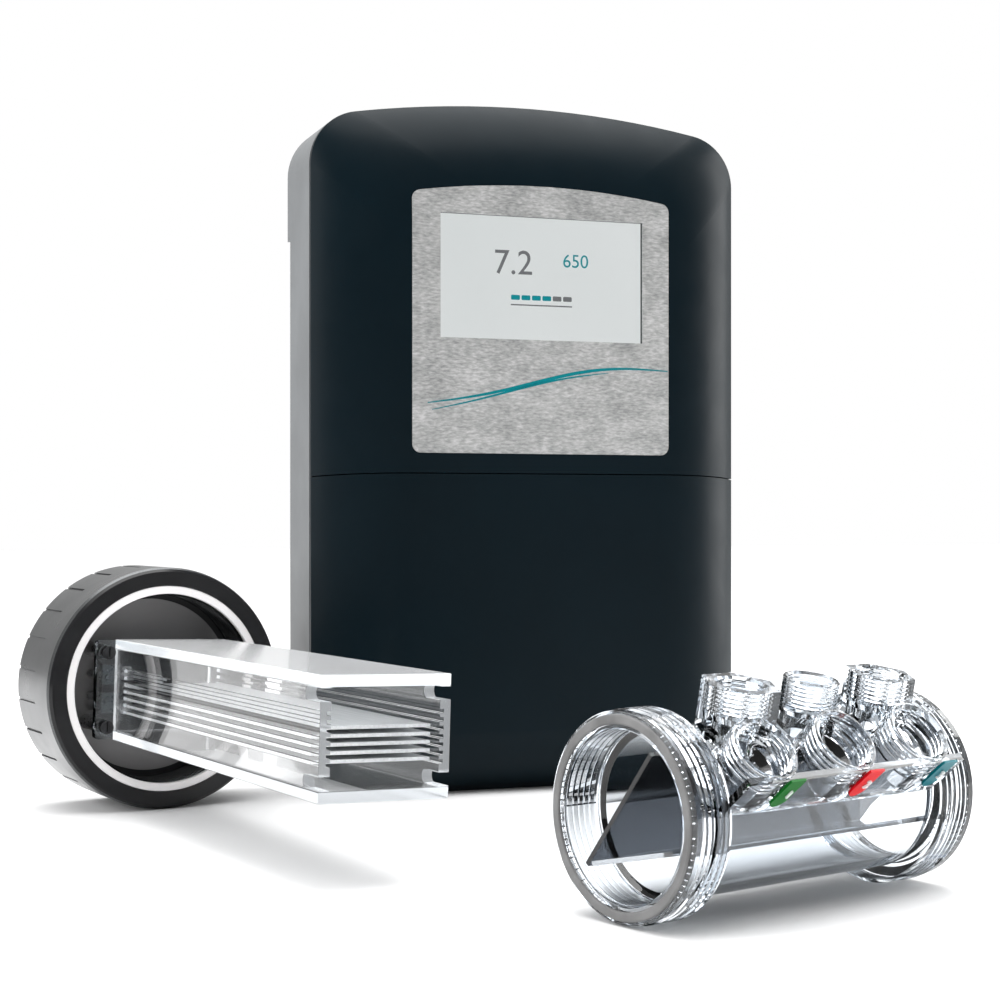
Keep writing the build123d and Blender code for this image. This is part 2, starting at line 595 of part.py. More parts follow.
with BuildPart() as union_nut:
    with BuildSketch(Plane.XY):
        Polygon(
            (RING_OUT, 0), (49.4, 0), (50.4, 1.0), (50.4, 1.5), (SLEEVE_IN, 1.5),
            (SLEEVE_IN, NUT_LENGTH - 2), (SLEEVE_IN - 2, NUT_LENGTH), (SHOULDER_R, NUT_LENGTH),
            (SHOULDER_R, SHOULDER_Y), (41.2, SHOULDER_Y), (41.2, CAP_FACE - 0.5),
            (NUT_MINOR_R, CAP_FACE - 0.5), (NUT_MINOR_R, 3.5), (RING_IN, 2.8), (RING_IN, 2.0),
            (RING_OUT, 2.0),
            align=None,
        )
    revolve(axis=Axis.Y)
    nut_threads()
save(union_nut, "union_nut", CARTRIDGE)

with BuildPart() as nut_ring:
    ring_y(RING_OUT, RING_IN, (0.1, 2.0))
    chamfer(nut_ring.edges().filter_by(GeomType.CIRCLE).group_by(Axis.Y)[0], 0.25)
save(nut_ring, "nut_ring", CARTRIDGE)

with BuildPart() as nut_grip:
    with BuildSketch(Plane.XY):
        Polygon(
            (SLEEVE_IN, 1.5), (NUT_R - 1.3, 1.5), (NUT_R, 2.6), (NUT_R, NUT_LENGTH - 1.2),
            (NUT_R - 1.0, NUT_LENGTH), (SLEEVE_IN, NUT_LENGTH - 2.0),
            align=None,
        )
    revolve(axis=Axis.Y)
    with BuildSketch(front_plane(GRIP_START)):
        with PolarLocations(NUT_R, GRIP_GROOVES, start_angle=7.5):
            Rectangle(2 * GRIP_DEPTH, GRIP_WIDTH)
    extrude(amount=-(NUT_LENGTH + 1 - GRIP_START), mode=Mode.SUBTRACT)
save(nut_grip, "nut_grip", CARTRIDGE)

# --- Cartridge: end cap ---
with BuildPart() as end_cap:
    with BuildSketch(Plane.XY):
        Polygon(
            (0, CAP_FACE), (37.0, CAP_FACE), (37.0, 26.0), (40.9, 26.0), (40.9, SHOULDER_Y - 0.05),
            (SHOULDER_R - 0.05, SHOULDER_Y - 0.05), (SHOULDER_R - 0.05, CAP_END - 1),
            (SHOULDER_R - 1.05, CAP_END), (0, CAP_END),
            align=None,
        )
    revolve(axis=Axis.Y)
    slot_y = (CAP_FACE - 1, CAP_FACE + 4)
    slot_x = (PIN_X - PIN_SLOT_R, PIN_X + PIN_SLOT_R)
    block(slot_x, slot_y, (-PIN_SLOT_Z, PIN_SLOT_Z), Mode.SUBTRACT)
    for z in (-PIN_SLOT_Z, PIN_SLOT_Z):
        rod_y(PIN_X, z, PIN_SLOT_R, slot_y, Mode.SUBTRACT)
    for z in (-PIN_Z, PIN_Z):
        rod_y(PIN_X, z, 1.7, (CAP_FACE + 3, CAP_END - 8), Mode.SUBTRACT)
    for x, z in PILLARS:
        rod_y(x, z, 1.6, (CAP_FACE - 1, CAP_FACE + 8), Mode.SUBTRACT)
    block((-29, 29), (CAP_END - 9, CAP_END + 1), (-14, 14), Mode.SUBTRACT)
save(end_cap, "end_cap", CARTRIDGE)

with BuildPart() as cap_seal:
    ring_y(40.6, 37.1, (CAP_FACE + 0.6, 26.0))
save(cap_seal, "cap_seal", CARTRIDGE)

with BuildPart() as cell_socket:
    block((-28.8, 28.8), (CAP_END - 9, CAP_END + 4), (-13.8, 13.8))
    fillet(cell_socket.edges().filter_by(Axis.Y), 3.0)
    block((-26.4, 26.4), (CAP_END - 5, CAP_END + 5), (-11.4, 11.4), Mode.SUBTRACT)
    for x in (-18, -6, 6, 18):
        rod_y(x, 0, 1.6, (CAP_END - 6, CAP_END + 2))
    for z in (-PIN_Z, PIN_Z):
        rod_y(PIN_X, z, 1.8, (CAP_END - 10, CAP_END - 8.05), Mode.SUBTRACT)
save(cell_socket, "cell_socket", CARTRIDGE)

# --- Cartridge: flange, pillars, conductors ---
with BuildPart() as flange_plate:
    block((-FLANGE_W / 2, FLANGE_W / 2), FLANGE_Y, (-FLANGE_H / 2, FLANGE_H / 2))
    fillet(flange_plate.edges().filter_by(Axis.Y), 1.5)
    for x, z in PILLARS:
        rod_y(x, z, 1.7, (FLANGE_Y[0] - 1, FLANGE_Y[1] + 1), Mode.SUBTRACT)
    for x, z in STUDS:
        rod_y(x, z, 2.1, (FLANGE_Y[0] - 1, FLANGE_Y[1] + 1), Mode.SUBTRACT)
save(flange_plate, "flange_plate", CARTRIDGE)

with BuildPart() as flange_pillars:
    for x, z in PILLARS:
        rod_y(x, z, 3.0, (FLANGE_Y[1], CAP_FACE))
        rod_y(x, z, 1.7, (FLANGE_Y[1] - 1, CAP_FACE + 1), Mode.SUBTRACT)
save(flange_pillars, "flange_pillars", CARTRIDGE)

with BuildPart() as flange_screws:
    for x, z in PILLARS:
        rod_y(x, z, 1.55, (FLANGE_Y[0], CAP_FACE + 7))
        rod_y(x, z, 2.8, (FLANGE_Y[0] - 1.8, FLANGE_Y[0]))
        block((x - 0.4, x + 0.4), (FLANGE_Y[0] - 2, FLANGE_Y[0] - 0.8), (z - 2, z + 2), Mode.SUBTRACT)
save(flange_screws, "flange_screws", CARTRIDGE)

with BuildPart() as electrode_studs:
    for (x, z), reach in zip(STUDS, (-43.0, -13.0)):
        rod_y(x, z, 2.0, (reach, 8.0))
        with BuildSketch(front_plane(FLANGE_Y[0])):
            with Locations((x, z)):
                RegularPolygon(2.8, 6, major_radius=False)
        extrude(amount=2.4)
save(electrode_studs, "electrode_studs", CARTRIDGE)

with BuildPart() as busbars:
    for (x, z), z_pin in zip(STUDS, (PIN_Z, -PIN_Z)):
        low, high = min(z, z_pin) - 3.0, max(z, z_pin) + 3.0
        block((PIN_X - 3.0, x + 3.5), (4.0, 6.0), (low, high))
        rod_y(x, z, 2.05, (3, 7), Mode.SUBTRACT)
        rod_y(PIN_X, z_pin, 1.75, (3, 7), Mode.SUBTRACT)
save(busbars, "busbars", CARTRIDGE)

with BuildPart() as contact_pins:
    for z in (-PIN_Z, PIN_Z):
        rod_y(PIN_X, z, 1.65, (3.0, CAP_END - 8.1))
save(contact_pins, "contact_pins", CARTRIDGE)

# --- Cartridge: cage and electrode plates ---


def groove_z(number):
    """Height of a groove, counted up from the lowest."""
    return (number - (GROOVES - 1) / 2) * GROOVE_PITCH


def cage_cover(name, side):
    """The flat top or bottom of the cage."""
    z_out = side * CAGE_H / 2
    z_in = side * (CAGE_H / 2 - CAGE_T)
    with BuildPart() as cover:
        sides = (-CAGE_W / 2, CAGE_W / 2)
        block(sides, (CAGE_FRONT, FLANGE_Y[0]), (min(z_out, z_in), max(z_out, z_in)))
        chamfer(cover.edges().filter_by(Axis.Y), 0.3)
    save(cover, name, CARTRIDGE)


def cage_wall(name, side):
    """A grooved side of the cage, with two notches at its open end."""
    x_out = side * CAGE_W / 2
    x_in = side * (CAGE_W / 2 - CAGE_T)
    x_range = (min(x_out, x_in), max(x_out, x_in))
    height = CAGE_H / 2 - CAGE_T
    with BuildPart() as wall:
        block(x_range, (CAGE_FRONT, FLANGE_Y[0]), (-height, height))
        groove_in = x_in + side * GROOVE_DEPTH
        groove_x = (min(groove_in, x_in - side), max(groove_in, x_in - side))
        for number in range(GROOVES):
            z = groove_z(number)
            block(groove_x, (CAGE_FRONT - 1, -12.0), (z - 0.7, z + 0.7), Mode.SUBTRACT)
        for z in (-NOTCH_Z, NOTCH_Z):
            with BuildSketch(Plane.YZ):
                with Locations((CAGE_FRONT + NOTCH_L / 2 - NOTCH_R, z)):
                    SlotOverall(NOTCH_L + 2 * NOTCH_R, 2 * NOTCH_R)
            extrude(amount=side * CAGE_W, mode=Mode.SUBTRACT)
    save(wall, name, CARTRIDGE)


cage_cover("cage_top", 1)
cage_cover("cage_bottom", -1)
cage_wall("cage_side_left", -1)
cage_wall("cage_side_right", 1)


def electrode_plate(number):
    """A thin plate that slides in one pair of grooves, cut back round the studs."""
    half = CAGE_W / 2 - CAGE_T + GROOVE_DEPTH - 0.2
    z = groove_z(number - 1)
    with BuildPart() as plate:
        block((-half, half), (CAGE_FRONT + 9.0, PLATE_REAR), (z - PLATE_T / 2, z + PLATE_T / 2))
    save(plate, f"electrode_plate_{number}", CARTRIDGE)


for plate_number in range(1, PLATES + 1):
    electrode_plate(plate_number)

# --- Probe chamber: body ---


def port_plane(s, mouth, tilt):
    """The plane of a port's mouth; its normal points out of the port."""
    lean = radians(tilt)
    out, up = mouth
    return Plane(origin=(s, -out, up), x_dir=(1, 0, 0), z_dir=(0, -sin(lean), cos(lean)))


def lathe_port(plane, points, mode):
    """Turn an outline of (radius, height above the mouth) about a port's axis."""
    with BuildSketch(Plane(origin=plane.origin, x_dir=plane.x_dir, z_dir=-plane.y_dir)) as section:
        with BuildLine():
            Polyline(*points, close=True)
        make_face()
    revolve(section.sketch, axis=Axis(plane.origin, plane.z_dir), mode=mode)


def port_shell(plane, radius):
    """The outside of a port, from its mouth down into the tube."""
    points = [(0, 0), (radius - 0.4, 0), (radius, -0.4), (radius, -PORT_L), (0, -PORT_L)]
    lathe_port(plane, points, Mode.ADD)


def port_bore(plane, minor, major, pitch):
    """The threaded mouth of a port and the plain bore below it."""
    lead = major - minor
    points = [(0, 1), (major, 1), (major, 0), (minor, -lead)]
    for turn in range(int((PORT_THREAD_L - lead - 0.6) / pitch)):
        top = -lead - 0.4 - turn * pitch
        points += [(minor, top), (major, top - 0.45), (major, top - 0.65), (minor, top - 1.1)]
    points += [(minor, -PORT_THREAD_L), (SHAFT_R, -PORT_THREAD_L - 2), (SHAFT_R, -PORT_REACH)]
    points += [(0, -PORT_REACH)]
    lathe_port(plane, points, Mode.SUBTRACT)


def end_outline():
    """Half of the chamber's outside: a lip, thread ridges and half of the tube."""
    points = [(0, 0), (0, LIP_R - 0.4), (0.4, LIP_R), (LIP_L - 0.4, LIP_R), (LIP_L, ROOT_R)]
    for turn in range(RIDGES):
        start = LIP_L + 0.4 + turn * G2_PITCH
        points += [(start, ROOT_R), (start + 0.75, THREAD_R)]
        points += [(start + 1.35, THREAD_R), (start + 2.1, ROOT_R)]
    points += [(END_L, ROOT_R), (END_L, TUBE_R), (CHAMBER_L / 2, TUBE_R), (CHAMBER_L / 2, 0)]
    return points


front_planes = [port_plane(s, FRONT_MOUTH, PORT_TILT_FRONT) for s in FRONT_PORTS]
back_planes = [port_plane(s, BACK_MOUTH, PORT_TILT_BACK) for s in BACK_PORTS]
label_plane = port_plane(CHAMBER_L / 2, FRONT_MOUTH, PORT_TILT_FRONT)

# the label bar's own plane: across it X runs along the tube and Y up the ports
label_face = Plane(
    origin=label_plane.origin - label_plane.y_dir * LABEL_OUT,
    x_dir=(1, 0, 0),
    z_dir=-label_plane.y_dir,
)

with BuildPart() as chamber_body:
    with BuildSketch(Plane.XY):
        with BuildLine():
            Polyline(*end_outline(), close=True)
        make_face()
    revolve(axis=Axis.X)
    mirror(about=Plane.YZ.offset(CHAMBER_L / 2))
    for plane in front_planes:
        port_shell(plane, FRONT_PORT_R)
    for place, plane in enumerate(back_planes):
        if place in BLOCKS_ACROSS:
            with BuildSketch(plane) as block_outline:
                RegularPolygon(BLOCKS_ACROSS[place] / 2, 6, major_radius=False)
            extrude(block_outline.sketch, amount=-PORT_L)
        else:
            port_shell(plane, BACK_PORT_R)
    with BuildSketch(label_face):
        with Locations((0, LABEL_MIDDLE)):
            Rectangle(LABEL_L, LABEL_W)
    extrude(amount=-LABEL_T)
    with BuildSketch(Plane.XY):
        with BuildLine():
            Polyline(
                (-1, 0), (-1, MOUTH_R + 1), (0, MOUTH_R + 0.5), (0.5, MOUTH_R), (MOUTH_L, MOUTH_R),
                (MOUTH_L + 1, BORE_R), (CHAMBER_L - MOUTH_L - 1, BORE_R), (CHAMBER_L - MOUTH_L, MOUTH_R),
                (CHAMBER_L - 0.5, MOUTH_R), (CHAMBER_L, MOUTH_R + 0.5), (CHAMBER_L + 1, MOUTH_R + 1),
                (CHAMBER_L + 1, 0), close=True,
            )
        make_face()
    revolve(axis=Axis.X, mode=Mode.SUBTRACT)
    with BuildSketch(Plane.XY):
        for s in (SEAL_GROOVE / 2 - 0.5, CHAMBER_L - SEAL_GROOVE / 2 + 0.5):
            with Locations((s, (SEAL_IN + SEAL_OUT) / 2)):
                Rectangle(SEAL_GROOVE + 1, SEAL_OUT - SEAL_IN)
    revolve(axis=Axis.X, mode=Mode.SUBTRACT)
    for plane in front_planes:
        port_bore(plane, *HALF_INCH)
    for plane in back_planes:
        port_bore(plane, *THREE_EIGHTHS)
save(chamber_body, "chamber_body", CHAMBER)


def end_seal(name, s_range, proud_side):
    """A flat ring in the groove of one end, with a rounded face."""
    with BuildPart() as seal:
        with BuildSketch(Plane.XY):
            with Locations((sum(s_range) / 2, (SEAL_IN + SEAL_OUT) / 2)):
                Rectangle(s_range[1] - s_range[0], SEAL_OUT - SEAL_IN)
        revolve(axis=Axis.X)
        rims = seal.edges().filter_by(GeomType.CIRCLE).group_by(Axis.X)[proud_side]
        fillet(rims, SEAL_PROUD - 0.05)
    save(seal, name, CHAMBER)


end_seal("end_seal_front", (-SEAL_PROUD, SEAL_GROOVE), 0)
end_seal("end_seal_rear", (CHAMBER_L - SEAL_GROOVE, CHAMBER_L + SEAL_PROUD), -1)


def guide_plate(name, start, end, inset):
    """A flat plate down the bore between two points, given as (out, up) from the axis."""
    (out0, up0), (out1, up1) = start, end
    length = sqrt((out1 - out0) ** 2 + (up1 - up0) ** 2)
    along = Vector(0, -(out1 - out0) / length, (up1 - up0) / length)
    plane = Plane(origin=(0, -out0, up0), x_dir=(1, 0, 0), z_dir=Vector(1, 0, 0).cross(along))
    s0, s1 = GUIDE_ENDS
    with BuildPart() as plate:
        with BuildSketch(plane):
            with Locations(((s0 + s1) / 2, (length + inset) / 2)):
                Rectangle(s1 - s0, length - inset)
        extrude(amount=GUIDE_T / 2, both=True)
    save(plate, name, CHAMBER)


guide_plate("guide_plate_dark", GUIDE_APEX, GUIDE_DARK_END, 0)
guide_plate("guide_plate_clear", GUIDE_APEX, GUIDE_CLEAR_END, GUIDE_T * 1.6)


def tag(name, s):
    """A shield-shaped coloured tag below a front port, square above and round below."""
    with BuildPart() as shield:
        with BuildSketch(label_face):
            with Locations((s - CHAMBER_L / 2, TAG_MIDDLE)):
                Rectangle(TAG_W, TAG_L)
                with Locations((0, -TAG_L / 2)):
                    Ellipse(TAG_W / 2, TAG_ROUND)
        extrude(amount=TAG_T)
    save(shield, name, CHAMBER)


for colour, port_s in zip(("green", "red", "teal"), FRONT_PORTS):
    tag(f"tag_{colour}", port_s + TAG_SHIFT)
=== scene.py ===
"""A salt chlorine generator in a pale studio: materials, printed details, light and camera.

Everything is in metres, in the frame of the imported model. Colours are linear.
"""

import json
import math

import bmesh
import bpy
from mathutils import Matrix, Vector


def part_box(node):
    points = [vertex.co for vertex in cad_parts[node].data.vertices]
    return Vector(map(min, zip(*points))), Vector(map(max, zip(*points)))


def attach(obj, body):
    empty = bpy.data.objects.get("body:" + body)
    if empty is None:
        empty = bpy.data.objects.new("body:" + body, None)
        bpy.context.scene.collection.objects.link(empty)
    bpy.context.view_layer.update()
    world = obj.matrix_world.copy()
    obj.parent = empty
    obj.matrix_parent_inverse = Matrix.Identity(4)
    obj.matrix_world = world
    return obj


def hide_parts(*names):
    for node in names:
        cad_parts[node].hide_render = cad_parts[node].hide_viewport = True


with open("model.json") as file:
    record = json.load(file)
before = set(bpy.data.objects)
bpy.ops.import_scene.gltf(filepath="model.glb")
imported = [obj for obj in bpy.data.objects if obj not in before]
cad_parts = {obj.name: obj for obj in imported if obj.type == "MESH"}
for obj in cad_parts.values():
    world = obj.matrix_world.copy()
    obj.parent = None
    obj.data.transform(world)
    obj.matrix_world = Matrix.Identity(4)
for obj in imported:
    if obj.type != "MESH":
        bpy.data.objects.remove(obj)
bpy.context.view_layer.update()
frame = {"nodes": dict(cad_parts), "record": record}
nodes = frame["nodes"]

MM = 0.001

# how the two loose items are turned on the floor
CARTRIDGE_TURN = math.radians(10.27)
CARTRIDGE_ROLL = math.radians(1.78)
CHAMBER_TURN = math.radians(18.43)
NUT_CENTRE = Vector((-0.105755, 0.126094, 0.0511))


# --- Shader helpers ---


def new_material(name, color, roughness, **sockets):
    """A Principled material; extra sockets are given by name, with _ for a space."""
    made = bpy.data.materials.new(name)
    made.use_nodes = True
    shader = made.node_tree.nodes["Principled BSDF"]
    shader.inputs["Base Color"].default_value = (*color, 1.0)
    shader.inputs["Roughness"].default_value = roughness
    for socket, value in sockets.items():
        shader.inputs[socket.replace("_", " ")].default_value = value
    return made


def shader_of(made):
    return made.node_tree.nodes["Principled BSDF"]


def coordinates(made, scale=(1, 1, 1), turn=(0, 0, 0)):
    """Object coordinates in metres, turned and then stretched."""
    tree = made.node_tree
    place = tree.nodes.new("ShaderNodeTexCoord")
    turned = tree.nodes.new("ShaderNodeMapping")
    turned.inputs["Rotation"].default_value = turn
    stretched = tree.nodes.new("ShaderNodeMapping")
    stretched.inputs["Scale"].default_value = scale
    tree.links.new(place.outputs["Object"], turned.inputs["Vector"])
    tree.links.new(turned.outputs["Vector"], stretched.inputs["Vector"])
    return stretched.outputs["Vector"]


def noise(made, vector, scale, detail=3.0, rough=0.5, distortion=0.0):
    texture = made.node_tree.nodes.new("ShaderNodeTexNoise")
    texture.inputs["Scale"].default_value = scale
    texture.inputs["Detail"].default_value = detail
    texture.inputs["Roughness"].default_value = rough
    texture.inputs["Distortion"].default_value = distortion
    made.node_tree.links.new(vector, texture.inputs["Vector"])
    return texture.outputs["Fac"]


def spread(made, value, low, high, start=0.3, end=0.7):
    """Map a texture's middle range to low..high."""
    mapped = made.node_tree.nodes.new("ShaderNodeMapRange")
    mapped.inputs["From Min"].default_value = start
    mapped.inputs["From Max"].default_value = end
    mapped.inputs["To Min"].default_value = low
    mapped.inputs["To Max"].default_value = high
    made.node_tree.links.new(value, mapped.inputs["Value"])
    return mapped.outputs["Result"]


def tint(made, value, stops):
    """Colour the base by a ramp of (position, colour)."""
    ramp = made.node_tree.nodes.new("ShaderNodeValToRGB")
    elements = ramp.color_ramp.elements
    while len(elements) < len(stops):
        elements.new(0.5)
    for element, (position, color) in zip(elements, stops):
        element.position = position
        element.color = (*color, 1.0)
    made.node_tree.links.new(value, ramp.inputs["Fac"])
    made.node_tree.links.new(ramp.outputs["Color"], shader_of(made).inputs["Base Color"])


def gloss(made, value, low, high):
    """Uneven roughness between low and high."""
    made.node_tree.links.new(spread(made, value, low, high), shader_of(made).inputs["Roughness"])


def relief(made, value, distance, strength=1.0):
    """Add a bump of that depth in metres, on top of any that is there."""
    tree = made.node_tree
    bump = tree.nodes.new("ShaderNodeBump")
    bump.inputs["Distance"].default_value = distance
    bump.inputs["Strength"].default_value = strength
    tree.links.new(value, bump.inputs["Height"])
    socket = shader_of(made).inputs["Normal"]
    if socket.is_linked:
        tree.links.new(socket.links[0].from_socket, bump.inputs["Normal"])
    tree.links.new(bump.outputs["Normal"], socket)


def scaled(color, factor):
    return tuple(channel * factor for channel in color)


# --- Material families ---


def plastic(name, color, roughness, mottle=0.12, grain=1800.0, depth=0.000012, **sockets):
    """Moulded plastic: fine spark-eroded grain, faint flow mottling, uneven gloss."""
    made = new_material(name, color, roughness, **sockets)
    where = coordinates(made)
    flow = noise(made, where, 22.0, 4.0)
    tint(made, flow, [(0.3, scaled(color, 1 - mottle)), (0.7, scaled(color, 1 + mottle))])
    gloss(made, noise(made, where, 60.0, 3.0), roughness - 0.035, roughness + 0.035)
    relief(made, noise(made, where, grain, 2.0), depth, 0.6)
    return made


def metal(name, color, roughness, stretch=(1, 1, 1), turn=(0, 0, 0), grain=700.0, metallic=1.0):
    """Metal with fine streaks along the axis that stretch shortens."""
    mottle = 0.1
    depth = 0.006 * MM
    made = new_material(name, color, roughness, Metallic=metallic)
    where = coordinates(made, stretch, turn)
    streaks = noise(made, where, grain, 3.0, 0.6)
    brighter = min(1 + mottle, 1 / max(color))
    tint(made, streaks, [(0.3, scaled(color, 1 - mottle)), (0.7, scaled(color, brighter))])
    gloss(made, streaks, roughness - 0.06, roughness + 0.08)
    relief(made, streaks, depth, 0.6)
    return made


def clear(name, color, roughness=0.0, ior=1.49, waviness=0.01 * MM, transmission=1.0, **sockets):
    """Clear moulded or cut plastic, with the faint waviness of a polished face."""
    made = new_material(name, color, roughness, Transmission_Weight=transmission, IOR=ior, **sockets)
    where = coordinates(made)
    relief(made, noise(made, where, 55.0, 2.0), waviness, 0.5)
    gloss(made, noise(made, where, 35.0, 4.0), roughness, roughness + 0.02)
    return made


def rubber(name, color):
    made = new_material(name, color, 0.62)
    where = coordinates(made)
    tint(made, noise(made, where, 90.0), [(0.3, scaled(color, 0.75)), (0.7, scaled(color, 1.3))])
    relief(made, noise(made, where, 2600.0), 0.00002)
    return made


def circuit_board(name):
    """Green solder mask over a grid of copper tracks."""
    made = new_material(name, (0.012, 0.1, 0.045), 0.32)
    where = coordinates(made)
    bricks = made.node_tree.nodes.new("ShaderNodeTexBrick")
    bricks.inputs["Scale"].default_value = 210.0
    bricks.inputs["Mortar Size"].default_value = 0.035
    bricks.inputs["Color1"].default_value = (0.008, 0.075, 0.03, 1)
    bricks.inputs["Color2"].default_value = (0.014, 0.115, 0.05, 1)
    bricks.inputs["Mortar"].default_value = (0.05, 0.22, 0.1, 1)
    upright = made.node_tree.nodes.new("ShaderNodeMapping")
    upright.inputs["Rotation"].default_value = (math.radians(90), 0, 0)
    made.node_tree.links.new(where, upright.inputs["Vector"])
    made.node_tree.links.new(upright.outputs["Vector"], bricks.inputs["Vector"])
    made.node_tree.links.new(bricks.outputs["Color"], shader_of(made).inputs["Base Color"])
    relief(made, bricks.outputs["Fac"], 0.00003)
    return made


def bezel_metal(name):
    """Mottled metal foil: short level streaks, light and dark."""
    made = new_material(name, (0.45, 0.46, 0.45), 0.38, Metallic=0.55)
    long_streaks = noise(made, coordinates(made, (0.3, 1, 1)), 1100.0, 4.0, 0.6, 0.2)
    clouds = noise(made, coordinates(made, (0.5, 1, 1)), 110.0, 4.0, 0.6)
    blend = made.node_tree.nodes.new("ShaderNodeMix")
    blend.inputs["Factor"].default_value = 0.35
    made.node_tree.links.new(long_streaks, blend.inputs["A"])
    made.node_tree.links.new(clouds, blend.inputs["B"])
    mixed = blend.outputs["Result"]
    dark, middle, light = (0.29, 0.295, 0.295), (0.44, 0.445, 0.44), (0.63, 0.625, 0.625)
    tint(made, mixed, [(0.36, dark), (0.5, middle), (0.64, light)])
    gloss(made, mixed, 0.3, 0.5)
    relief(made, long_streaks, 0.00004, 0.7)
    return made


def lit_display(name):
    """The pale, evenly lit face of the display."""
    made = new_material(name, (0.5, 0.51, 0.51), 0.35, Emission_Strength=0.5)
    where = coordinates(made)
    shade = noise(made, where, 6.0, 2.0)
    ramp = made.node_tree.nodes.new("ShaderNodeValToRGB")
    ramp.color_ramp.elements[0].color = (0.72, 0.74, 0.74, 1)
    ramp.color_ramp.elements[1].color = (0.84, 0.85, 0.85, 1)
    made.node_tree.links.new(shade, ramp.inputs["Fac"])
    made.node_tree.links.new(ramp.outputs["Color"], shader_of(made).inputs["Emission Color"])
    tint(made, shade, [(0.2, (0.46, 0.48, 0.48)), (0.8, (0.54, 0.55, 0.55))])
    return made


def printed(name, color):
    """Screen-printed ink: flat colour with a faint speckle."""
    made = new_material(name, color, 0.35, Specular_IOR_Level=0.2)
    where = coordinates(made)
    tint(made, noise(made, where, 1200.0), [(0.25, scaled(color, 0.88)), (0.75, scaled(color, 1.1))])
    return made


# turns object coordinates so that Y runs along the cartridge
NUT_AXIS_TURN = (0, 0, -CARTRIDGE_TURN)

MATERIALS = {
    "case_dark": plastic(
        "case_dark", (0.0016, 0.0066, 0.01), 0.36, 0.08, 1500.0, 0.006 * MM, Specular_IOR_Level=0.09
    ),
    "case_grey": plastic("case_grey", (0.145, 0.152, 0.158), 0.45),
    "bezel_metal": bezel_metal("bezel_metal"),
    "lens_clear": clear("lens_clear", (1, 1, 1), 0.0, 1.3, 0.0),
    "display": lit_display("display"),
    "board_green": circuit_board("board_green"),
    "component_black": plastic("component_black", (0.018, 0.018, 0.019), 0.5, 0.25),
    "terminal_green": plastic("terminal_green", (0.035, 0.2, 0.06), 0.42),
    "steel": metal("steel", (0.56, 0.56, 0.57), 0.3),
    "metal_case": metal("metal_case", (0.62, 0.63, 0.64), 0.36, (0.08, 1, 1)),
    "rubber_black": rubber("rubber_black", (0.014, 0.014, 0.015)),
    "gland_grey": plastic("gland_grey", (0.085, 0.095, 0.105), 0.42),
    "socket_metal": metal("socket_metal", (0.6, 0.57, 0.5), 0.24),
    "switch_black": plastic("switch_black", (0.013, 0.013, 0.014), 0.24),
    "bracket_dark": plastic("bracket_dark", (0.05, 0.055, 0.06), 0.5),
    "nut_black": plastic(
        "nut_black", (0.006, 0.006, 0.007), 0.18, 0.2, 1800.0, 0.008 * MM, Specular_IOR_Level=0.3
    ),
    "ring_white": plastic("ring_white", (0.92, 0.9, 0.9), 0.38, 0.03),
    "cap_dark": plastic("cap_dark", (0.3, 0.29, 0.29), 0.42, 0.12),
    "acrylic": clear("acrylic", (0.985, 0.99, 0.995), 0.0),
    # top plate acrylic, half diffuse white: the milky white is a painted reflection of bright surroundings
    "acrylic_painted_reflection": clear("acrylic_painted_reflection", (0.96, 0.97, 0.98), 0.12, transmission=0.5),
    # acrylic for the sawn edges: its emission makes the cut faces glow, a painted highlight
    "acrylic_edge_painted_glow": clear(
        "acrylic_edge_painted_glow", (0.97, 0.98, 0.99), 0.22, 1.49, 0.02 * MM,
        Emission_Color=(0.92, 0.96, 1, 1), Emission_Strength=0.36,
    ),
    "acrylic_smoky": clear("acrylic_smoky", (0.4, 0.43, 0.45), 0.02),
    "guide_smoky": clear("guide_smoky", (0.42, 0.45, 0.48), 0.04),
    "dark_screw": metal("dark_screw", (0.05, 0.05, 0.052), 0.34),
    "titanium": metal("titanium", (0.52, 0.53, 0.54), 0.3),
    "electrode": metal("electrode", (0.84, 0.86, 0.87), 0.36, (1, 0.05, 1), NUT_AXIS_TURN, 900.0, 0.45),
    "chamber_clear": clear("chamber_clear", (0.8, 0.835, 0.87), 0.0, 1.49, 0.00002),
    "seal_grey": rubber("seal_grey", (0.13, 0.13, 0.13)),
    "guide_dark": clear("guide_dark", (0.09, 0.1, 0.115), 0.05),
    "tag_green": printed("tag_green", (0.0, 0.12, 0.008)),
    "tag_red": printed("tag_red", (0.62, 0.0, 0.004)),
    "tag_teal": printed("tag_teal", (0.0, 0.13, 0.16)),
}


def nut_paint():
    """Metallic grey of the nut's grip: pale flakes in a smooth lacquer."""
    made = new_material("nut_grey", (0.5, 0.51, 0.53), 0.26, Metallic=0.9, Coat_Weight=0.2)
    where = coordinates(made)
    flakes = noise(made, where, 3500.0, 1.0)
    tint(made, flakes, [(0.35, (0.075, 0.078, 0.08)), (0.65, (0.11, 0.113, 0.116))])
    gloss(made, noise(made, where, 50.0, 3.0), 0.26, 0.36)
    relief(made, flakes, 0.000006, 0.4)
    return made


MATERIALS["nut_grey"] = nut_paint()
white_ink = printed("white_ink", (0.86, 0.87, 0.87))
grey_ink = printed("grey_ink", (0.12, 0.125, 0.13))
teal_ink = printed("teal_ink", (0.0, 0.19, 0.22))

for row in frame["record"]["subparts"]:
    mesh = nodes[row["node"]].data
    mesh.materials.clear()
    mesh.materials.append(MATERIALS[row["material_slot"]])


def ease_edges(name, width, segments=2):
    """Round a flat-sided node's sharp edges a little, so that they catch the light."""
    weld = nodes[name].modifiers.new("weld", "WELD")
    weld.merge_threshold = 0.002 * MM
    bevel = nodes[name].modifiers.new("eased_edges", "BEVEL")
    bevel.width = width
    bevel.segments = segments
    bevel.limit_method = "ANGLE"
    bevel.angle_limit = math.radians(50)


# --- Printed details ---


def add_piece(name, mesh, material, body):
    piece = bpy.data.objects.new(name, mesh)
    bpy.context.scene.collection.objects.link(piece)
    mesh.materials.append(material)
    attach(piece, body)
    return piece


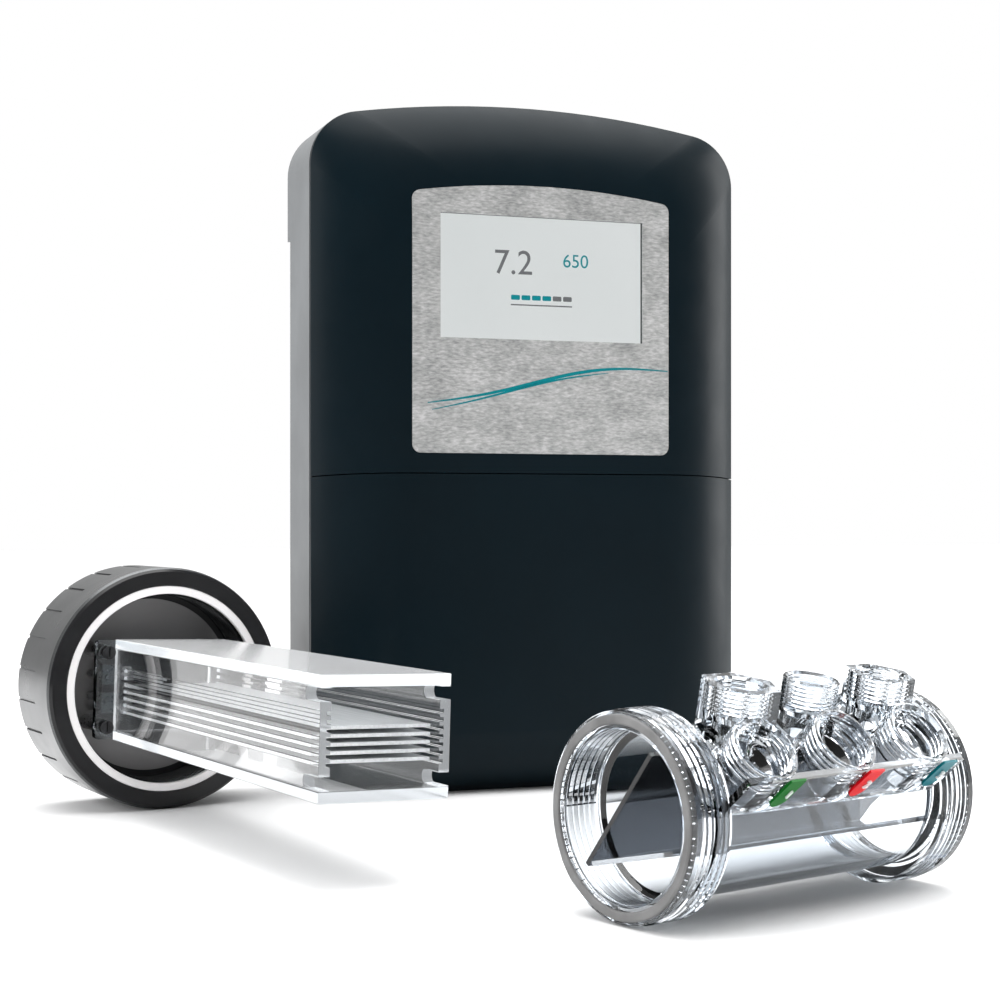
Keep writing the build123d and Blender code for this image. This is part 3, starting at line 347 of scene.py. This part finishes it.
def thin_plate(name, outline, place, thickness, material, body):
    """A plate from a closed outline in its own XY plane, rising along Z, moved by place."""
    form = bmesh.new()
    face = form.faces.new([form.verts.new((x, y, 0)) for x, y in outline])
    rise = bmesh.ops.extrude_face_region(form, geom=[face])
    top = [item for item in rise["geom"] if isinstance(item, bmesh.types.BMVert)]
    bmesh.ops.translate(form, verts=top, vec=(0, 0, thickness))
    bmesh.ops.recalc_face_normals(form, faces=form.faces)
    mesh = bpy.data.meshes.new(name)
    form.to_mesh(mesh)
    form.free()
    mesh.transform(place)
    return add_piece(name, mesh, material, body)


def rounded_outline(width, height, radius, steps=6):
    """Corners of a rounded rectangle centred on the origin, anticlockwise."""
    points = []
    for quarter, (sx, sy) in enumerate(((1, 1), (-1, 1), (-1, -1), (1, -1))):
        for step in range(steps + 1):
            angle = math.radians(90) * (quarter + step / steps)
            x = sx * (width / 2 - radius) + radius * math.cos(angle)
            y = sy * (height / 2 - radius) + radius * math.sin(angle)
            points.append((x, y))
    return points


def numerals(name, text, size, place, thickness, material, body):
    """Plain numerals as a thin solid, centred on place's origin and facing its Z."""
    font = bpy.data.curves.new(name, "FONT")
    font.body = text
    font.size = size
    font.align_x = "CENTER"
    font.align_y = "CENTER"
    font.extrude = thickness / 2
    font.resolution_u = 6
    holder = bpy.data.objects.new(name + "_curve", font)
    mesh = bpy.data.meshes.new_from_object(holder)
    mesh.name = name
    bpy.data.objects.remove(holder)
    mesh.transform(place @ Matrix.Translation((0, 0, thickness / 2)))
    return add_piece(name, mesh, material, body)


def on_front(x, y, z):
    """A place on the case's front: local X across, Y up, Z out towards the viewer."""
    return Matrix.Translation((x, y, z)) @ Matrix.Rotation(math.radians(90), 4, "X")


GAUGE_BARS = 6
GAUGE_FILLED = 4


def display_graphics():
    """A generic readout on the display: two figures, a level gauge of bars and a rule beneath it."""
    low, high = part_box("display_lens")
    x = (low.x + high.x) / 2
    z = (low.z + high.z) / 2
    y = low.y - 0.02 * MM
    depth = 0.05 * MM
    numerals(
        "display_figure_main", "7.2", 0.0155, on_front(x - 0.0135, y, z + 0.0065), depth,
        grey_ink, "controller",
    )
    numerals(
        "display_figure_side", "650", 0.0085, on_front(x + 0.0165, y, z + 0.0085), depth,
        teal_ink, "controller",
    )
    bar = rounded_outline(0.0042, 0.0022, 0.0005)
    for step in range(GAUGE_BARS):
        ink = teal_ink if step < GAUGE_FILLED else grey_ink
        place = on_front(x - 0.0125 + step * 0.005, y, z - 0.0085)
        thin_plate(f"display_level_{step + 1}", bar, place, depth, ink, "controller")
    rule = rounded_outline(0.0295, 0.0006, 0.0002)
    rule_place = on_front(x, y, z - 0.0118)
    thin_plate("display_rule", rule, rule_place, depth, grey_ink, "controller")


def bezel_line(name, start, end, rise, width):
    """A tapering S-shaped line across the bezel plate, from start to end as (x, z)."""
    face_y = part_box("bezel_plate")[0].y
    (x0, z0), (x1, z1) = start, end
    steps = 48
    top, bottom = [], []
    for step in range(steps + 1):
        t = step / steps
        x = x0 + (x1 - x0) * t
        z = z0 + (z1 - z0) * t + rise * math.sin(math.pi * t) - rise * 0.55 * math.sin(2 * math.pi * t)
        half = width * (0.25 + 0.75 * math.sin(math.pi * t)) / 2
        top.append((x, z + half))
        bottom.append((x, z - half))
    outline = bottom + top[::-1]
    thin_plate(name, outline, on_front(0, face_y, 0), 0.04 * MM, teal_ink, "controller")


def bezel_lines():
    low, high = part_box("bezel_plate")
    upper_start, upper_end = (low.x + 0.007, low.z + 0.022), (high.x - 0.0005, low.z + 0.0385)
    lower_start, lower_end = (low.x + 0.009, low.z + 0.019), (high.x - 0.03, low.z + 0.037)
    bezel_line("bezel_line_upper", upper_start, upper_end, 0.0035, 0.0016)
    bezel_line("bezel_line_lower", lower_start, lower_end, 0.0012, 0.001)


TAG_LEAN = math.radians(140)  # from facing up to facing forwards and down
FIGURE_RISE = 0.0004  # a figure starts this far out from its tag's centre


def tag_numerals():
    """A white numeral on each tag, square to the tag's slope."""
    turn = Matrix.Rotation(CHAMBER_TURN, 4, "Z") @ Matrix.Rotation(TAG_LEAN, 4, "X")
    out = turn @ Vector((0, 0, 1))
    for number, colour in enumerate(("green", "red", "teal"), start=1):
        tag = f"tag_{colour}"
        low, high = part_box(tag)
        place = Matrix.Translation((low + high) / 2 + out * FIGURE_RISE) @ turn
        figure = f"tag_figure_{number}"
        numerals(figure, str(number), 0.0052, place, 0.0006, white_ink, "probe_chamber")


display_graphics()
bezel_lines()
tag_numerals()

# --- Cage plates with cut edges made bright by a painted glow ---
CAGE_FRAME = (
    Matrix.Translation(NUT_CENTRE)
    @ Matrix.Rotation(CARTRIDGE_TURN, 4, "Z")
    @ Matrix.Rotation(CARTRIDGE_ROLL, 4, "Y")
)
NOTCHED_END = 0.013  # the notches reach this far from the open end


def cut_acrylic(name, broad_axis, material="acrylic"):
    """Stand in for a cage plate: polished broad faces, sawn edges that glow as a painted highlight, eased
    corners.
    """
    into_cage = CAGE_FRAME.inverted()
    form = bmesh.new()
    form.from_mesh(nodes[name].data)
    bmesh.ops.transform(form, matrix=into_cage, verts=form.verts)
    bmesh.ops.remove_doubles(form, verts=form.verts, dist=0.002 * MM)
    bmesh.ops.dissolve_limit(form, angle_limit=math.radians(1), verts=form.verts, edges=form.edges)
    open_end = min(vertex.co.y for vertex in form.verts)
    form.normal_update()
    for face in form.faces:
        across = abs(face.normal[broad_axis]) < 0.5
        sawn = abs(face.normal.y) > 0.5 or broad_axis == 2
        notch = face.calc_center_median().y < open_end + NOTCHED_END
        # sawn faces and notch walls take slot 1, the glowing edge material: a painted highlight
        face.material_index = 1 if across and (sawn or notch) else 0
    bmesh.ops.transform(form, matrix=CAGE_FRAME, verts=form.verts)
    mesh = bpy.data.meshes.new(name + "_cut")
    form.to_mesh(mesh)
    form.free()
    piece = add_piece(name + "_cut", mesh, MATERIALS[material], "cartridge")
    # slot 1: the edge material whose glow is a painted highlight
    mesh.materials.append(MATERIALS["acrylic_edge_painted_glow"])
    bevel = piece.modifiers.new("eased_edges", "BEVEL")
    bevel.width = 0.25 * MM
    bevel.segments = 2
    bevel.limit_method = "ANGLE"
    bevel.angle_limit = math.radians(50)
    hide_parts(name)


# the top plate gets the milky acrylic whose white is a painted reflection
cut_acrylic("cage_top", 2, "acrylic_painted_reflection")
cut_acrylic("cage_bottom", 2)
cut_acrylic("cage_side_left", 0)
cut_acrylic("cage_side_right", 0)

# --- Eased edges ---
EASES = {"bezel_plate": 0.25 * MM, "flange_plate": 0.3 * MM, "display_lens": 0.2 * MM}
for flat_node, ease in EASES.items():
    ease_edges(flat_node, ease)

# --- Studio ---


def soft_light(name, place, target, width, height, power, color=(1, 1, 1)):
    light = bpy.data.lights.new(name, "AREA")
    light.shape = "RECTANGLE"
    light.size = width
    light.size_y = height
    light.energy = power
    light.color = color
    holder = bpy.data.objects.new(name, light)
    holder.location = place
    holder.rotation_mode = "QUATERNION"
    holder.rotation_quaternion = (Vector(target) - Vector(place)).to_track_quat("-Z", "Y")
    holder.visible_camera = False
    bpy.context.scene.collection.objects.link(holder)


# (from, to, radiance at from, radiance at to) along the view's depth and height
WORLD_DEPTH = (-0.6, 0.7, 0.2, 0.55)
WORLD_HEIGHT = (0.0, 0.9, 0.0, 0.35)
WORLD_SEEN = 1.0

soft_light("light_top", (0.1, 0.0, 1.5), (0, 0, 0.1), 1.6, 1.4, 18)
soft_light("light_left", (-1.5, 0.0, 0.6), (0, 0, 0.12), 0.7, 1.5, 18)
soft_light("light_right", (1.5, 0.1, 0.5), (0, 0, 0.12), 0.7, 1.4, 18)


def even_light():
    """A wide, distant light from above, so that the floor stays white into the distance."""
    sun = bpy.data.lights.new("light_even", "SUN")
    sun.energy = 2.3
    sun.angle = math.radians(70)
    holder = bpy.data.objects.new("light_even", sun)
    holder.location = (0, 0, 2)
    bpy.context.scene.collection.objects.link(holder)


def studio_world():
    """White behind the object; for reflections, bright behind and above and dim in front."""
    world = bpy.data.worlds.new("studio")
    world.use_nodes = True
    tree = world.node_tree
    background = tree.nodes["Background"]
    background.inputs["Color"].default_value = (1, 1, 1, 1)
    place = tree.nodes.new("ShaderNodeTexCoord")
    parts = tree.nodes.new("ShaderNodeSeparateXYZ")
    tree.links.new(place.outputs["Generated"], parts.inputs["Vector"])
    shares = []
    for axis, stops in (("Y", WORLD_DEPTH), ("Z", WORLD_HEIGHT)):
        level = tree.nodes.new("ShaderNodeMapRange")
        level.interpolation_type = "SMOOTHSTEP"
        for socket, value in zip(("From Min", "From Max", "To Min", "To Max"), stops):
            level.inputs[socket].default_value = value
        tree.links.new(parts.outputs[axis], level.inputs["Value"])
        shares.append(level.outputs["Result"])
    total = tree.nodes.new("ShaderNodeMath")
    tree.links.new(shares[0], total.inputs[0])
    tree.links.new(shares[1], total.inputs[1])
    path = tree.nodes.new("ShaderNodeLightPath")
    choice = tree.nodes.new("ShaderNodeMix")
    choice.inputs["B"].default_value = WORLD_SEEN
    tree.links.new(path.outputs["Is Camera Ray"], choice.inputs["Factor"])
    tree.links.new(total.outputs["Value"], choice.inputs["A"])
    tree.links.new(choice.outputs["Result"], background.inputs["Strength"])
    bpy.context.scene.world = world


def pale_floor():
    size = 6.0
    form = bmesh.new()
    bmesh.ops.create_grid(form, x_segments=24, y_segments=24, size=size)
    mesh = bpy.data.meshes.new("floor")
    form.to_mesh(mesh)
    form.free()
    floor = bpy.data.objects.new("floor", mesh)
    bpy.context.scene.collection.objects.link(floor)
    made = new_material("floor_pale", (0.86, 0.86, 0.86), 0.6)
    tint(made, noise(made, coordinates(made), 3.0), [(0.2, (0.85, 0.85, 0.855)), (0.8, (0.88, 0.88, 0.88))])
    mesh.materials.append(made)


even_light()
studio_world()
pale_floor()

# --- Camera ---
camera_data = bpy.data.cameras.new("camera")
camera_data.lens = 68.4
camera_data.sensor_width = 36.0
camera_data.shift_y = 0.015
camera = bpy.data.objects.new("camera", camera_data)
camera.location = (-0.24545, -0.6772, 0.1244)
camera.rotation_mode = "QUATERNION"
camera.rotation_quaternion = Vector((0.3387, 0.9409, 0.0)).to_track_quat("-Z", "Y")
bpy.context.scene.collection.objects.link(camera)
bpy.context.scene.camera = camera
bpy.context.scene.view_settings.view_transform = "Standard"
